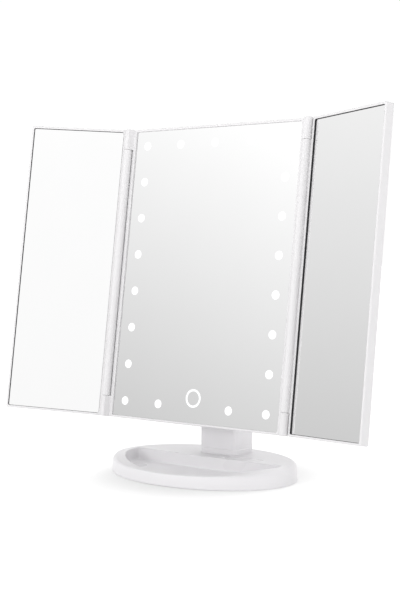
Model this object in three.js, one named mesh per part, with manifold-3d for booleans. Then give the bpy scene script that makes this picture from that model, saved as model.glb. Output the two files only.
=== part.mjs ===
// Tri-fold lighted makeup mirror on an oval tray stand, drawn as a bench assembly.
// Millimetres, +Z up, front faces -Y. The origin is on the table, under the centre of the oval base.
// The head (centre panel) leans back on a horizontal pivot at the top of the neck. Two side wings
// hang on vertical pins at the sides of the head and fold over it like double doors.
import * as THREE from "three";
import { mergeVertices } from "three/addons/utils/BufferGeometryUtils.js";
import Module from "manifold-3d";

// ---------------------------------------------------------------- driving dimensions
const TILT = THREE.MathUtils.degToRad(8.15); // lean of the head as it stands
const WING_L = THREE.MathUtils.degToRad(26.0); // left wing, forward of flat
const WING_R = THREE.MathUtils.degToRad(20.5); // right wing, forward of flat
const HEAD = { y: 1.2, z: 157.9 }; // middle of the head's mirror face
const HALF_W = 83.2; // head casing, half width
const HALF_H = 118.3; // head and wings, half height
const RIM_FRONT = -1.2; // the rim stands this far in front of the glass
const LIP = { x: 88.2, y0: 0.65, y1: 3.4 }; // ledge behind each hinge barrel, closing the slit
const RIM_SIDE = 2.8, RIM_TOP = 1.8; // width of the rim's front edge
const FRAME_BACK = 8.0, COVER_FRONT = 8.3, COVER_BACK = 12.8;
const WALL = 2.0, GLASS = 2.0, GLASS_GAP = 0.6;
const HINGE = { x: 86.9, y: -3.0, r: 3.35 }; // wing hinge line, in head coordinates
const KNUCKLE = 101.5; // the fixed knuckles start at this height from the middle
const WING_W = 85.0, WING_T = 7.2, WING_RIM = 1.8; // width from the pin, thickness, rim's place behind the pin
const LED = { x: 68.6, z: 104.3, dx: 34.3, dz: 29.8, size: 5.0 };
const TOUCH_Z = -97.4;
const NECK = { w: 35.5, d: 20.5, y: 29.5, z0: 12.9, r: 3.5, back: 44.9, deep: 62, slim: 76 }; // deeper below the pivot
const PIVOT_Z = 82.0; // tilt axis above the table
const PIVOT = {
  // the same axis in head coordinates
  y: (NECK.y - HEAD.y) * Math.cos(TILT) - (PIVOT_Z - HEAD.z) * Math.sin(TILT),
  z: (NECK.y - HEAD.y) * Math.sin(TILT) + (PIVOT_Z - HEAD.z) * Math.cos(TILT),
};
const BASE = { a: 80.3, b: 56.8, z0: 0.5, top: 13.9, bend: -12.6, fall: 0.096, wall: 2.2, floor: 4.2 };
const TRAY = { a: 71.0, b: 52.3, power: 1.7, y0: 3.0, bow: 0.0007, draft: 1.3, corner: 2.2, wall: 1.6 };
const COLLAR_TOP = 18.2;
const FOOT = { x: 42, y: 36, r: 6 };
const CELL = { r: 7.25, len: 50.5, pitch: 15.0, y: 17.35, z0: -32.0 };

// ---------------------------------------------------------------- solids
const wasm = await Module();
wasm.setup();
const V = THREE.Vector2;

function solid(geometry) {
  const g = geometry.index ? geometry.toNonIndexed() : geometry;
  const bare = new THREE.BufferGeometry().setAttribute("position", g.getAttribute("position"));
  const m = mergeVertices(bare, 1e-4);
  return new wasm.Manifold(
    new wasm.Mesh({
      numProp: 3,
      vertProperties: new Float32Array(m.attributes.position.array),
      triVerts: new Uint32Array(m.index.array),
    }),
  );
}
function geometryOf(s) {
  const m = s.getMesh(), n = m.numProp, p = new Float32Array(m.numVert * 3);
  for (let i = 0; i < m.numVert; i++)
    for (let k = 0; k < 3; k++) p[3 * i + k] = m.vertProperties[n * i + k];
  const g = new THREE.BufferGeometry();
  g.setAttribute("position", new THREE.BufferAttribute(p, 3));
  g.setIndex(new THREE.BufferAttribute(new Uint32Array(m.triVerts), 1));
  g.computeVertexNormals();
  return g;
}
const join = (...s) => s.reduce((a, b) => a.add(b));
const cut = (a, ...s) => s.reduce((x, y) => x.subtract(y), a);

function box(x0, x1, y0, y1, z0, z1) {
  const g = new THREE.BoxGeometry(x1 - x0, y1 - y0, z1 - z0);
  g.translate((x0 + x1) / 2, (y0 + y1) / 2, (z0 + z1) / 2);
  return solid(g);
}
// Cylinders along each axis, from one coordinate to another.
function cylZ(r, z0, z1, x = 0, y = 0, n = 24) {
  const g = new THREE.CylinderGeometry(r, r, z1 - z0, n);
  g.rotateX(Math.PI / 2);
  g.translate(x, y, (z0 + z1) / 2);
  return solid(g);
}
function cylY(r, y0, y1, x = 0, z = 0, n = 24) {
  const g = new THREE.CylinderGeometry(r, r, y1 - y0, n);
  g.translate(x, (y0 + y1) / 2, z);
  return solid(g);
}
function cylX(r, x0, x1, y = 0, z = 0, n = 32, turn = 0) {
  const g = new THREE.CylinderGeometry(r, r, x1 - x0, n);
  g.rotateY(turn);
  g.rotateZ(Math.PI / 2);
  g.translate((x0 + x1) / 2, y, z);
  return solid(g);
}
// A turned piece about a line parallel to Z. The profile runs from the axis to the axis.
function turned(profile, x = 0, y = 0, n = 24) {
  const g = new THREE.LatheGeometry(profile.map(([r, z]) => new V(r, z)), n);
  g.rotateX(Math.PI / 2);
  g.translate(x, y, 0);
  return solid(g);
}
function rrect(x0, x1, z0, z1, r) {
  const s = new THREE.Shape();
  s.moveTo(x0 + r, z0);
  s.lineTo(x1 - r, z0);
  s.absarc(x1 - r, z0 + r, r, -Math.PI / 2, 0);
  s.lineTo(x1, z1 - r);
  s.absarc(x1 - r, z1 - r, r, 0, Math.PI / 2);
  s.lineTo(x0 + r, z1);
  s.absarc(x0 + r, z1 - r, r, Math.PI / 2, Math.PI);
  s.lineTo(x0, z0 + r);
  s.absarc(x0 + r, z0 + r, r, Math.PI, 1.5 * Math.PI);
  return s;
}
// A shape drawn in X-Z, standing from y0 to y1.
function slabY(shape, y0, y1, seg = 2) {
  const g = new THREE.ExtrudeGeometry(shape, { depth: y1 - y0, bevelEnabled: false, curveSegments: seg, steps: 1 });
  g.rotateX(Math.PI / 2);
  g.translate(0, y1, 0);
  return solid(g);
}
// A shape drawn in X-Y, standing from z0 to z1.
function slabZ(shape, z0, z1, seg = 3) {
  const g = new THREE.ExtrudeGeometry(shape, { depth: z1 - z0, bevelEnabled: false, curveSegments: seg, steps: 1 });
  g.translate(0, 0, z0);
  return solid(g);
}
// A shape drawn in Y-Z, standing from x0 to x1.
function slabX(shape, x0, x1, seg = 8) {
  const g = new THREE.ExtrudeGeometry(shape, { depth: x1 - x0, bevelEnabled: false, curveSegments: seg, steps: 1 });
  g.applyMatrix4(
    new THREE.Matrix4().makeBasis(new THREE.Vector3(0, 1, 0), new THREE.Vector3(0, 0, 1), new THREE.Vector3(1, 0, 0)),
  );
  g.translate(x0, 0, 0);
  return solid(g);
}
function tube(points, r, sides = 8, steps = 24) {
  const section = new THREE.Shape();
  for (let i = 0; i <= sides; i++) {
    const a = (2 * Math.PI * i) / sides;
    i ? section.lineTo(r * Math.cos(a), r * Math.sin(a)) : section.moveTo(r, 0);
  }
  const path = new THREE.CatmullRomCurve3(points.map((p) => new THREE.Vector3(...p)));
  return solid(new THREE.ExtrudeGeometry(section, { steps, extrudePath: path, bevelEnabled: false }));
}
// Rings of points with one count each, stacked into a closed skin. The last ring is closed by a fan, or,
// when it is symmetric in x, straight across from each point to its mirror point.
function loft(rings, across = false) {
  const n = rings[0].length, pos = [], idx = [];
  rings.forEach((r) => r.forEach((p) => pos.push(...p)));
  for (let k = 0; k + 1 < rings.length; k++)
    for (let i = 0; i < n; i++) {
      const a = k * n + i, b = k * n + ((i + 1) % n), c = a + n, d = b + n;
      idx.push(a, b, d, a, d, c);
    }
  const mid = (r) => r.reduce((s, p) => [s[0] + p[0] / n, s[1] + p[1] / n, s[2] + p[2] / n], [0, 0, 0]);
  const lo = pos.length / 3; pos.push(...mid(rings[0]));
  const hi = pos.length / 3; pos.push(...mid(rings[rings.length - 1]));
  const top = (rings.length - 1) * n;
  for (let i = 0; i < n; i++) {
    const j = (i + 1) % n;
    idx.push(lo, j, i);
    if (!across) idx.push(hi, top + i, top + j);
  }
  if (across) {
    const at = (i) => top + ((i + n) % n), h = n / 2;
    for (let i = n / 4; i > -n / 4; i--) {
      const a = at(i), b = at(h - i), c = at(i - 1), d = at(h - i + 1);
      if (a !== b) idx.push(a, b, c);
      if (c !== d) idx.push(c, b, d);
    }
  }
  const g = new THREE.BufferGeometry();
  g.setAttribute("position", new THREE.BufferAttribute(new Float32Array(pos), 3));
  g.setIndex(idx);
  return solid(g);
}

// ---------------------------------------------------------------- finishes
const finish = (color, roughness, metalness = 0, more = {}) =>
  new THREE.MeshStandardMaterial({ color, roughness, metalness, ...more });
const WHITE = finish(0xeeecee, 0.25), SATIN = finish(0xe9e7e9, 0.4), MIRROR = finish(0xe8eaea, 0.02, 1);
const TAPE = finish(0x1a1a1b, 0.9), BOARD = finish(0xf2f2ee, 0.5), GREEN = finish(0x1f5a38, 0.5);
const STEEL = finish(0xb9bcc0, 0.3, 1), ZINC = finish(0xc8c8c4, 0.35, 1), RUBBER = finish(0x2a2a2c, 0.85);
const BRASSY = finish(0xb58a3a, 0.35, 1), JACKET = finish(0x4f5a6b, 0.45), NYLON = finish(0xf3f1ea, 0.5);
const WIRE = finish(0xb3261e, 0.5), BLACK = finish(0x202022, 0.5);

const group = new THREE.Group();
const head = new THREE.Group();
head.position.set(0, HEAD.y, HEAD.z);
head.rotation.x = -TILT;
const wingL = new THREE.Group(), wingR = new THREE.Group();
wingL.position.set(-HINGE.x, HINGE.y, 0);
wingR.position.set(HINGE.x, HINGE.y, 0);
wingL.rotation.z = WING_L;
wingR.rotation.z = -WING_R;
head.add(wingL, wingR);
group.add(head);

function put(where, name, s, material) {
  const mesh = new THREE.Mesh(geometryOf(s), material);
  mesh.name = name;
  where.add(mesh);
}

// ---------------------------------------------------------------- oval base
// The top is level behind and falls towards the front, with a soft bend between.
const SIDES = 56;
function topAt(y) {
  const t = BASE.bend - y;
  return BASE.top - BASE.fall * (t < -6 ? 0 : t > 6 ? t : (t + 6) ** 2 / 24);
}
const ring = (off, z) =>
  Array.from({ length: SIDES }, (_, i) => {
    const t = (2 * Math.PI * i) / SIDES, y = (BASE.b - off) * Math.sin(t);
    return [(BASE.a - off) * Math.cos(t), y, z];
  });
const under = (off, drop) => ring(off, 0).map(([x, y]) => [x, y, topAt(y) - drop]);
// The rounding of the upper edge grows towards the two ends. Drawn at an angle from the side to the top.
const rolled = (deg) =>
  Array.from({ length: SIDES }, (_, i) => {
    const t = (2 * Math.PI * i) / SIDES, r = 1.3 + 3.2 * Math.abs(Math.cos(t)) ** 3, k = THREE.MathUtils.degToRad(deg);
    const off = 0.55 + r * (1 - Math.cos(k)), y = (BASE.b - off) * Math.sin(t);
    return [(BASE.a - off) * Math.cos(t), y, topAt(y) - r * (1 - Math.sin(k))];
  });

// The tray is the front of the oval inside its rim, with a back wall that bows forward.
function trayOutline(grow, n = 26, m = 14) {
  const a = TRAY.a + grow, b = TRAY.b + grow, e = 2 / TRAY.power, r = TRAY.corner;
  const wall = (x) => TRAY.y0 + TRAY.bow * x * x + grow;
  const bend = (v) => Math.sign(v) * Math.abs(v) ** e;
  const front = (t) => [a * bend(Math.cos(t)), b * bend(Math.sin(t))];
  const apart = (p, q) => Math.hypot(p[0] - q[0], p[1] - q[1]);
  let t0 = 0.6;
  while (front(t0)[1] > wall(front(t0)[0])) t0 -= 0.0005;
  const corner = front(t0);
  let t1 = t0;
  while (apart(front(t1), corner) < r) t1 -= 0.0005;
  const pts = [];
  for (let i = 0; i <= n; i++) pts.push(front(Math.PI - t1 + ((Math.PI + 2 * t1) * i) / n));
  const p = front(t1), q = [corner[0] - r, wall(corner[0] - r)];
  const blend = (u) => [0, 1].map((k) => (1 - u) ** 2 * p[k] + 2 * u * (1 - u) * corner[k] + u * u * q[k]);
  for (const u of [0.33, 0.67]) pts.push(blend(u));
  for (let i = 0; i <= m; i++) {
    const x = q[0] - (2 * q[0] * i) / m;
    pts.push([x, wall(x)]);
  }
  for (const u of [0.67, 0.33]) { const [x, y] = blend(u); pts.push([-x, y]); }
  return pts;
}
const trayLoft = (grow, z0, z1) => loft([trayOutline(grow - TRAY.draft, 26, 14).map(([x, y]) => [x, y, z0]), trayOutline(grow + 0.2, 26, 14).map(([x, y]) => [x, y, z1])]);
const baseSkin = loft([ring(0.4, BASE.z0), ring(0, BASE.z0 + 0.4), rolled(0), rolled(30), rolled(60), rolled(90)], true);
const baseHollow = loft([ring(BASE.wall, 0), under(BASE.wall + 0.55, 3.2), under(BASE.wall + 1.6, 2.1)], true);
const trayBowl = trayLoft(TRAY.wall, BASE.floor - 1.4, 16).intersect(baseSkin);
const SCREWS_BASE = [[-58, 20], [58, 20], [-28, 45], [28, 45]];
let baseShell = join(cut(baseSkin, baseHollow), trayBowl, ...SCREWS_BASE.map(([x, y]) => cylZ(3.2, 3.2, 12.2, x, y, 10)));
baseShell = cut(
  baseShell,
  trayLoft(0, BASE.floor, 16),
  slabZ(rrect(-18.8, 18.8, NECK.y - 11.3, NECK.back + 1.05, 5.8), NECK.z0 - 0.3, 20, 2), // seat of the neck's collar
  cylZ(2.5, 5, 20, 0, NECK.y, 12),
  ...SCREWS_BASE.map(([x, y]) => cylZ(1.25, 2, 9.3, x, y, 8)),
);
put(group, "base_shell", baseShell, WHITE);

const FEET = { foot_front_left: [-1, -1], foot_front_right: [1, -1], foot_rear_left: [-1, 1], foot_rear_right: [1, 1] };
const plateRing = loft([ring(2.6, 1.2), ring(2.6, 2.6)]);
put(
  group,
  "base_bottom_plate",
  cut(
    plateRing,
    ...Object.values(FEET).map(([i, j]) => cylZ(FOOT.r + 0.3, 0.5, 1.9, i * FOOT.x, j * FOOT.y, 16)),
    ...SCREWS_BASE.flatMap(([x, y]) => [cylZ(1.6, 1, 3, x, y, 8), cylZ(3.0, 1, 1.9, x, y, 12)]),
  ),
  SATIN,
);
for (const [name, [i, j]] of Object.entries(FEET))
  put(group, name, turned([[0, 0], [FOOT.r - 0.4, 0], [FOOT.r, 0.4], [FOOT.r, 1.6], [0, 1.6]], i * FOOT.x, j * FOOT.y, 16), RUBBER);
SCREWS_BASE.forEach(([x, y], k) =>
  put(group, "base_screw_" + (k + 1), join(cylZ(2.5, 1.25, 1.75, x, y, 12), cylZ(1.0, 1.7, 8.8, x, y, 8)), STEEL),
);
put(
  group,
  "base_ballast_plate",
  cut(slabZ(rrect(-50, 50, 15, 40, 4), 3.2, 8.6, 2), cylZ(5.6, 3, 9, 0, NECK.y, 16), cylZ(4.2, 3, 9, -28, 45, 10), cylZ(4.2, 3, 9, 28, 45, 10)),
  STEEL,
);

// ---------------------------------------------------------------- neck
const nx = NECK.w / 2, ny0 = NECK.y - NECK.d / 2, ny1 = NECK.y + NECK.d / 2;
const section = (y1, z) =>
  [[nx - NECK.r, ny0 + NECK.r, -90], [nx - NECK.r, y1 - NECK.r, 0], [NECK.r - nx, y1 - NECK.r, 90], [NECK.r - nx, ny0 + NECK.r, 180]].flatMap(([x, y, a]) =>
    [0, 22.5, 45, 67.5, 90].map((b) => {
      const t = THREE.MathUtils.degToRad(a + b);
      return [x + NECK.r * Math.cos(t), y + NECK.r * Math.sin(t), z];
    }),
  );
let neck = join(
  loft([section(NECK.back, NECK.z0), section(NECK.back, NECK.deep), section(ny1, NECK.slim), section(ny1, PIVOT_Z)]),
  slabZ(rrect(-nx - 0.7, nx + 0.7, ny0 - 0.7, NECK.back + 0.7, NECK.r + 2.0), NECK.z0, COLLAR_TOP, 3),
  cylX(NECK.d / 2, -nx, nx, NECK.y, PIVOT_Z, 28),
);
neck = cut(
  neck,
  slabZ(rrect(-nx + 2.2, nx - 2.2, ny0 + 2.2, NECK.back - 2.2, 2), 26, 61, 1),
  slabZ(rrect(-nx + 2.2, nx - 2.2, ny0 + 2.2, ny1 - 2.2, 2), 60, 68, 1),
  box(-14.5, 14.5, NECK.back - 2.8, NECK.back + 2, 28, 59),
  cylX(3.3, -nx - 1, nx + 1, NECK.y, PIVOT_Z, 14),
  cylZ(2.25, 10, 22, 0, NECK.y, 12),
);
put(group, "neck_body", neck, WHITE);
put(group, "neck_rear_cover", box(-14.2, 14.2, NECK.back - 1.8, NECK.back, 28.3, 58.7), WHITE);
put(group, "neck_bolt", join(cylZ(4.6, 8.2, 11.5, 0, NECK.y, 6), cylZ(1.95, 11.4, 21.5, 0, NECK.y, 12)), STEEL);

// ---------------------------------------------------------------- head: frame, glass and rear cover
const rx = HALF_W - RIM_SIDE, rz = HALF_H - RIM_TOP; // inside of the rim
const SCREWS_HEAD = [[-76.5, 112], [76.5, 112], [-76.5, -112], [76.5, -112]];
const knuckle = (x, up) => {
  const p = [[0, KNUCKLE], [HINGE.r, KNUCKLE], [HINGE.r, HALF_H - 1.2], [HINGE.r - 0.4, HALF_H - 0.4], [HINGE.r - 1.2, HALF_H], [0, HALF_H]];
  const q = up ? p : p.map(([r, z]) => [r, -z]).reverse();
  const s = turned(q, x, HINGE.y, 16);
  const z0 = up ? KNUCKLE : -HALF_H + 0.6, z1 = up ? HALF_H - 0.6 : -KNUCKLE;
  const web = x > 0 ? box(HALF_W - 1, x, -2.4, LIP.y0 + 0.5, z0, z1) : box(x, -HALF_W + 1, -2.4, LIP.y0 + 0.5, z0, z1);
  return s.add(web);
};
let frame = cut(
  slabY(rrect(-HALF_W, HALF_W, -HALF_H, HALF_H, 2.5), RIM_FRONT, FRAME_BACK),
  slabY(rrect(-rx, rx, -rz, rz, 1.2), RIM_FRONT - 1, 2.9),
  slabY(rrect(-73, 73, -109, 109, 2), 2, 9),
  slabY(rrect(-HALF_W + WALL, HALF_W - WALL, -HALF_H + 1.6, HALF_H - 1.6, 1.2), 4.4, 9),
);
frame = join(
  frame,
  box(HALF_W - 1.5, LIP.x, LIP.y0, LIP.y1, -HALF_H + 0.6, HALF_H - 0.6),
  box(-LIP.x, -HALF_W + 1.5, LIP.y0, LIP.y1, -HALF_H + 0.6, HALF_H - 0.6),
  ...SCREWS_HEAD.map(([x, z]) => cylY(3, 4.2, 7.9, x, z, 10)),
  knuckle(-HINGE.x, true), knuckle(-HINGE.x, false), knuckle(HINGE.x, true), knuckle(HINGE.x, false),
);
frame = cut(
  frame,
  ...SCREWS_HEAD.map(([x, z]) => cylY(1.25, 4.6, 9, x, z, 8)),
  ...[-1, 1].flatMap((i) => [cylZ(1.35, KNUCKLE - 1, 113, i * HINGE.x, HINGE.y, 8), cylZ(1.35, -113, -KNUCKLE + 1, i * HINGE.x, HINGE.y, 8)]),
);
put(head, "centre_frame", frame, WHITE);

const gx = rx - GLASS_GAP, gz = rz - GLASS_GAP;
put(head, "centre_mirror", slabY(rrect(-gx, gx, -gz, gz, 0.8), 0, GLASS), MIRROR);
put(head, "centre_mirror_tape", cut(slabY(rrect(-gx - 0.25, gx + 0.25, -gz - 0.25, gz + 0.25, 0.8), 2.15, 2.7), slabY(rrect(-73.6, 73.6, -109.6, 109.6, 1), 2, 3)), TAPE);

// rear cover: a shallow tray with the battery box standing out of it
const BOX = { x: 36, z0: -42, z1: 28, back: 26.6 };
const BAY = { x: 30.5, z0: -36, z1: 22.5, floor: 9.8 };
const DOOR = { x: 33, z0: -39, z1: 25.5, y0: 25.0 };
const SWITCH = { x: 58, z: -20 }, USB = { x: 58, z: -60 };
const LUG_SCREW = [[-31.2, -71.1], [31.2, -71.1]];
const bayWalls = slabY(rrect(-BAY.x - 1.8, BAY.x + 1.8, BAY.z0 - 1.8, BAY.z1 + 1.8, 1), 8.6, 25);
let cover = cut(
  join(slabY(rrect(-HALF_W, HALF_W, -HALF_H, HALF_H, 2.5), COVER_FRONT, COVER_BACK), slabY(rrect(-BOX.x, BOX.x, BOX.z0, BOX.z1, 4), COVER_BACK - 1, BOX.back)),
  slabY(rrect(-HALF_W + WALL, HALF_W - WALL, -HALF_H + 1.6, HALF_H - 1.6, 1.2), 8, COVER_BACK - 1.6),
  slabY(rrect(-BOX.x + 2, BOX.x - 2, BOX.z0 + 2, BOX.z1 - 2, 2.2), 8, 23.2),
);
cover = join(cover, bayWalls, ...SCREWS_HEAD.map(([x, z]) => cylY(3.2, 8.35, 12, x, z, 10)));
cover = cut(
  cover,
  slabY(rrect(-BAY.x, BAY.x, BAY.z0, BAY.z1, 0.6), BAY.floor, 30),
  box(-DOOR.x - 0.3, DOOR.x + 0.3, DOOR.y0 - 0.3, 30, DOOR.z0 - 0.3, 40),
  slabY(rrect(SWITCH.x - 2.2, SWITCH.x + 2.2, SWITCH.z - 4.7, SWITCH.z + 4.7, 0.8), 10, 20),
  slabY(rrect(USB.x - 4.4, USB.x + 4.4, USB.z - 2.0, USB.z + 2.0, 1.2), 10, 20),
  ...SCREWS_HEAD.flatMap(([x, z]) => [cylY(1.55, 8, 14, x, z, 8), cylY(2.9, 10.9, 14, x, z, 12)]),
  ...LUG_SCREW.map(([x, z]) => cylY(1.5, 10, 14, x, z, 8)),
);
put(head, "centre_rear_cover", cover, WHITE);
SCREWS_HEAD.forEach(([x, z], k) =>
  put(head, "rear_screw_" + (k + 1), cut(join(cylY(2.5, 11.2, 12.5, x, z, 12), cylY(1.0, 5.2, 11.3, x, z, 8)), box(x - 0.35, x + 0.35, 11.9, 13, z - 1.5, z + 1.5), box(x - 1.5, x + 1.5, 11.9, 13, z - 0.35, z + 0.35)), STEEL),
);

// lights, touch sensor and boards
const lamps = [];
for (let i = 0; i < 8; i++) for (const s of [-1, 1]) lamps.push([s * LED.x, LED.z - i * LED.dz]);
for (const i of [-1, 0, 1]) lamps.push([i * LED.dx, LED.z]);
for (const i of [-1, 1]) lamps.push([i * LED.dx, LED.z - 7 * LED.dz]);
const h = LED.size / 2;
put(
  head,
  "led_board",
  join(
    cut(slabY(rrect(-72.3, 72.3, -108, 108, 1), 4.9, 6.1), slabY(rrect(-60, 60, -92, 96, 1), 4, 7), cylY(8.6, 4, 7, 0, TOUCH_Z, 16)),
    ...lamps.map(([x, z]) => box(x - h, x + h, 3.6, 5.0, z - h, z + h)),
  ),
  BOARD,
);
put(head, "touch_sensor_pad", join(cylY(7.2, 2.3, 3.4, 0, TOUCH_Z, 20), cylY(3.0, 3.3, 6.8, 0, TOUCH_Z, 10)), BRASSY);
put(
  head,
  "control_board",
  join(box(-22, 22, 7.0, 8.1, -114, -86), box(-16, -8, 8.0, 9.6, -108, -100), box(4, 14, 8.0, 10.2, -112, -104), box(2, 8, 8.0, 9.2, -97, -91)),
  GREEN,
);
put(
  head,
  "usb_socket",
  cut(join(box(USB.x - 7, USB.x + 7, 6.4, 7.5, USB.z - 6, USB.z + 6), box(USB.x - 3.8, USB.x + 3.8, 7.4, 12.6, USB.z - 1.45, USB.z + 1.45)), box(USB.x - 3.4, USB.x + 3.4, 8.2, 14, USB.z - 1.0, USB.z + 1.0)).add(
    box(USB.x - 2.2, USB.x + 2.2, 8.1, 12.0, USB.z - 0.3, USB.z + 0.3),
  ),
  ZINC,
);
put(head, "power_switch_body", box(SWITCH.x - 4.2, SWITCH.x + 4.2, 7.2, 10.9, SWITCH.z - 6.5, SWITCH.z + 6.5), BLACK);
put(
  head,
  "power_switch_knob",
  join(box(SWITCH.x - 1.8, SWITCH.x + 1.8, 11.2, 13.4, SWITCH.z + 0.3, SWITCH.z + 4.3), box(SWITCH.x - 1.8, SWITCH.x + 1.8, 13.3, 14.0, SWITCH.z + 0.7, SWITCH.z + 1.4), box(SWITCH.x - 1.8, SWITCH.x + 1.8, 13.3, 14.0, SWITCH.z + 1.95, SWITCH.z + 2.65), box(SWITCH.x - 1.8, SWITCH.x + 1.8, 13.3, 14.0, SWITCH.z + 3.2, SWITCH.z + 3.9)),
  BLACK,
);

// batteries, contacts, door
for (let i = 0; i < 4; i++) {
  const x = (i - 1.5) * CELL.pitch, up = i % 2 === 0, z0 = CELL.z0, z1 = z0 + CELL.len;
  const body = up
    ? [[0, z0], [CELL.r - 0.5, z0], [CELL.r, z0 + 0.5], [CELL.r, z1 - 2.2], [CELL.r - 0.6, z1 - 1.5], [2.7, z1 - 1.5], [2.6, z1], [0, z1]]
    : [[0, z0], [2.6, z0], [2.7, z0 + 1.5], [CELL.r - 0.6, z0 + 1.5], [CELL.r, z0 + 2.2], [CELL.r, z1 - 0.5], [CELL.r - 0.5, z1], [0, z1]];
  put(head, "battery_" + (i + 1), turned(body, x, CELL.y, 16), JACKET);
}
const contact = (z, dir) => {
  const s = [box(-29.6, 29.6, 13.6, 21.1, Math.min(z, z + dir * 0.5), Math.max(z, z + dir * 0.5))];
  for (let i = 0; i < 4; i++) {
    const x = (i - 1.5) * CELL.pitch, spring = (i % 2 === 0) === dir > 0;
    const reach = spring ? 2.7 : 1.4, r = spring ? 3.6 : 2.4;
    s.push(cylZ(r, Math.min(z, z + dir * reach), Math.max(z, z + dir * reach), x, CELL.y, 8));
  }
  return join(...s);
};
put(head, "battery_contact_lower", contact(BAY.z0 + 0.3, 1), ZINC);
put(head, "battery_contact_upper", contact(BAY.z1 - 0.3, -1), ZINC);
const ribs = Array.from({ length: 5 }, (_, k) => box(-12 + k, 12 - k, BOX.back - 0.1, BOX.back + 0.6, -33 + k * 2.4, -32 + k * 2.4));
put(head, "battery_door", join(slabY(rrect(-DOOR.x, DOOR.x, DOOR.z0, DOOR.z1, 1.6), DOOR.y0, BOX.back), ...ribs), WHITE);
put(head, "battery_lead", tube([[-27, 7.4, -40], [-29, 7.4, -52], [-22, 7.4, -66], [-15, 7.5, -78], [-15, 7.6, -84.5]], 0.7, 8, 9), WIRE);
put(head, "usb_lead", tube([[51, 7.3, -66.8], [46, 7.4, -76], [34, 7.4, -86], [28, 7.5, -92], [22.6, 7.6, -96]], 0.7, 8, 9), BLACK);

// tilt pivot: two lugs on the rear cover, a bolt through the neck, friction washers
function lugShape() {
  const R = 11, c = [PIVOT.y, PIVOT.z], y0 = COVER_BACK + 0.3, s = new THREE.Shape();
  const touch = (p, sign) => {
    const d = Math.hypot(c[0] - p[0], c[1] - p[1]), a = Math.atan2(p[1] - c[1], p[0] - c[0]), b = Math.acos(R / d);
    return a + sign * b;
  };
  const low = [y0, -95], high = [y0, -47.5], a0 = touch(low, 1), a1 = touch(high, -1);
  s.moveTo(...low);
  const n = 10;
  for (let i = 0; i <= n; i++) {
    const span = (a1 - a0 + 4 * Math.PI) % (2 * Math.PI), a = a0 + (span * i) / n;
    s.lineTo(c[0] + R * Math.cos(a), c[1] + R * Math.sin(a));
  }
  s.lineTo(...high);
  s.closePath();
  return s;
}
const LUG = { in: 19.2, out: 26.2 };
for (const [name, i] of [["left", -1], ["right", 1]]) {
  const x0 = i < 0 ? -LUG.out : LUG.in, x1 = i < 0 ? -LUG.in : LUG.out;
  const span = (a, b) => (i < 0 ? [-b, -a] : [a, b]);
  let lug = join(slabX(lugShape(), x0, x1), slabY(rrect(...span(LUG.out - 1, LUG.out + 9.5), -88, -54, 2), COVER_BACK + 0.3, COVER_BACK + 2.8));
  lug = cut(
    lug,
    cylX(3.3, x0 - 1, x1 + 1, PIVOT.y, PIVOT.z, 14),
    cylX(6.7, ...span(22.2, 30), PIVOT.y, PIVOT.z, 16),
    cylY(1.5, 10, 20, i * 31.2, -71.1, 8),
  );
  put(head, "pivot_lug_" + name, lug, WHITE);
  put(head, "pivot_cap_" + name, cylX(9.2, ...span(LUG.out + 0.3, LUG.out + 1.7), PIVOT.y, PIVOT.z, 24), SATIN);
  put(head, "friction_washer_" + name, cut(cylX(8.2, ...span(18.0, 19.0), PIVOT.y, PIVOT.z, 18), cylX(3.4, ...span(17, 20), PIVOT.y, PIVOT.z, 14)), NYLON);
  put(head, "lug_screw_" + name, join(cylY(2.6, 15.9, 17.2, i * 31.2, -71.1, 12), cylY(1.0, 8.6, 16, i * 31.2, -71.1, 8)), STEEL);
}
put(head, "tilt_bolt", join(cylX(5.4, -25.4, -22.5, PIVOT.y, PIVOT.z, 16), cylX(2.9, -22.6, 25.6, PIVOT.y, PIVOT.z, 14)), STEEL);
put(head, "disc_spring_washer", cut(cylX(5.9, 22.5, 23.1, PIVOT.y, PIVOT.z, 16), cylX(3.3, 22, 24, PIVOT.y, PIVOT.z, 14)), ZINC);
put(head, "tilt_nut", cut(cylX(5.8, 23.4, 25.9, PIVOT.y, PIVOT.z, 6), cylX(3.25, 23, 27, PIVOT.y, PIVOT.z, 14)), ZINC);

// wing hinge pins, fast in the fixed knuckles
for (const [side, x] of [["left", -HINGE.x], ["right", HINGE.x]]) {
  put(head, side + "_hinge_pin_upper", cylZ(1.1, 91, 112.6, x, HINGE.y, 8), STEEL);
  put(head, side + "_hinge_pin_lower", cylZ(1.1, -112.6, -91, x, HINGE.y, 8), STEEL);
}

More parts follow.
